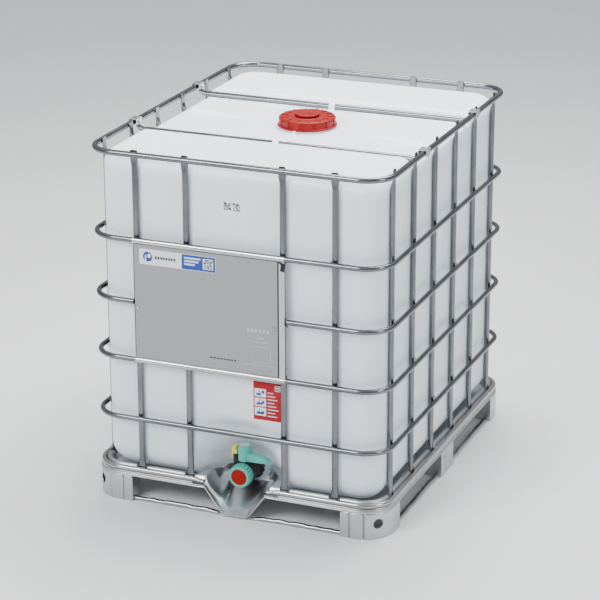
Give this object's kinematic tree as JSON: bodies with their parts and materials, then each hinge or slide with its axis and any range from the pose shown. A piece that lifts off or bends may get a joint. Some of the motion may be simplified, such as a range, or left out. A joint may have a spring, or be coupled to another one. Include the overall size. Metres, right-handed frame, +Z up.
{
  "type": "intermediate bulk container",
  "caption": "Caged plastic liquid container on a sheet steel pallet, with a screw lid on top, a label plate and a lever valve with a screw cap low at the front.",
  "frame": {"origin": "on the floor, under the middle of the pallet", "axes": "+Z up, -Y out of the valve side, +X to the right of someone who faces the valve side"},
  "size_m": [1, 1.2, 1.16],
  "materials": {
    "galvanised_tube": "zinc coated, satin",
    "galvanised_sheet": "zinc coated, faint spangle",
    "plate_steel": "satin",
    "bottle_plastic": "translucent, smooth",
    "lid_plastic": "semi-matt",
    "signal_red_plastic": "semi-matt",
    "turquoise_plastic": "semi-matt",
    "valve_plastic": "semi-matt",
    "yellow_plastic": "semi-matt",
    "seal_rubber": "matt"
  },
  "bodies": {
    "container": {"cage_post_front_1": "galvanised_tube", "cage_post_front_2": "galvanised_tube", "cage_post_front_3": "galvanised_tube", "cage_post_front_4": "galvanised_tube", "cage_post_rear_1": "galvanised_tube", "cage_post_rear_2": "galvanised_tube", "cage_post_rear_3": "galvanised_tube", "cage_post_rear_4": "galvanised_tube", "cage_post_left_1": "galvanised_tube", "cage_post_left_2": "galvanised_tube", "cage_post_left_3": "galvanised_tube", "cage_post_left_4": "galvanised_tube", "cage_post_left_5": "galvanised_tube", "cage_post_left_6": "galvanised_tube", "cage_post_right_1": "galvanised_tube", "cage_post_right_2": "galvanised_tube", "cage_post_right_3": "galvanised_tube", "cage_post_right_4": "galvanised_tube", "cage_post_right_5": "galvanised_tube", "cage_post_right_6": "galvanised_tube", "cage_ring_top": "galvanised_tube", "cage_ring_upper": "galvanised_tube", "cage_ring_middle": "galvanised_tube", "cage_ring_lower": "galvanised_tube", "cage_ring_valve": "galvanised_tube", "cage_ring_base": "galvanised_tube", "crossbar_front": "galvanised_tube", "crossbar_rear": "galvanised_tube", "crossbar_clip_front_left": "galvanised_tube", "crossbar_clip_front_right": "galvanised_tube", "crossbar_clip_rear_left": "galvanised_tube", "crossbar_clip_rear_right": "galvanised_tube", "runner": "galvanised_tube", "pallet_tray": "galvanised_sheet", "drip_chute": "galvanised_sheet", "rim_crimp_left": "galvanised_sheet", "rim_crimp_right": "galvanised_sheet", "corner_foot_front_left": "galvanised_sheet", "corner_foot_front_right": "galvanised_sheet", "corner_foot_rear_left": "galvanised_sheet", "corner_foot_rear_right": "galvanised_sheet", "centre_foot_left": "galvanised_sheet", "centre_foot_right": "galvanised_sheet", "centre_foot_rear": "galvanised_sheet", "label_plate": "plate_steel", "bottle": "bottle_plastic", "crossbar_retainer_front": "bottle_plastic", "crossbar_retainer_rear": "bottle_plastic", "union_nut": "valve_plastic", "valve_body": "valve_plastic"},
    "lid_seal": {"lid_gasket": "seal_rubber"},
    "lid": {"lid": "lid_plastic"},
    "vent_seal": {"vent_plug_seal": "seal_rubber"},
    "vent_plug": {"vent_plug": "lid_plastic"},
    "lever": {"lever": "turquoise_plastic", "butterfly": "valve_plastic"},
    "latch": {"safety_latch": "yellow_plastic"},
    "cap_seal": {"outlet_cap_gasket": "seal_rubber"},
    "cap_disc": {"outlet_cap_disc": "signal_red_plastic"},
    "cap_ring": {"outlet_cap_ring": "turquoise_plastic"}
  },
  "joints": [
    {"name": "lid_lift", "type": "slide", "parent": "container", "child": "lid_seal", "axis": [0, 0, 1], "range_m": [0, 0.12]},
    {"name": "lid_turn", "type": "hinge", "parent": "lid_seal", "child": "lid", "pos_m": [0, 0.015, 1.136], "axis": [0, 0, 1], "range_deg": [0, 540]},
    {"name": "vent_rise", "type": "slide", "parent": "lid", "child": "vent_seal", "axis": [0, 0, 1], "range_m": [0, 0.0094]},
    {"name": "vent_turn", "type": "hinge", "parent": "vent_seal", "child": "vent_plug", "pos_m": [0, 0.015, 1.157], "axis": [0, 0, 1], "range_deg": [0, 1440]},
    {"name": "valve_turn", "type": "hinge", "parent": "container", "child": "lever", "pos_m": [0, -0.513, 0.19], "axis": [0, 0, 1], "range_deg": [-90, 0]},
    {"name": "latch_slide", "type": "slide", "parent": "container", "child": "latch", "axis": [-1, 0, 0], "range_m": [0, 0.008]},
    {"name": "cap_pull", "type": "slide", "parent": "container", "child": "cap_seal", "axis": [0, -1, 0], "range_m": [0, 0.1]},
    {"name": "cap_thread", "type": "slide", "parent": "cap_seal", "child": "cap_disc", "axis": [0, -1, 0], "range_m": [0, 0.0182]},
    {"name": "cap_turn", "type": "hinge", "parent": "cap_disc", "child": "cap_ring", "pos_m": [0, -0.55, 0.124], "axis": [0, -1, 0], "range_deg": [0, 1080]}
  ],
  "couplings": [
    {"joint": "vent_rise", "follows": "vent_turn", "m_per_rad": 0.00037},
    {"joint": "cap_thread", "follows": "cap_turn", "m_per_rad": 0.00096}
  ]
}
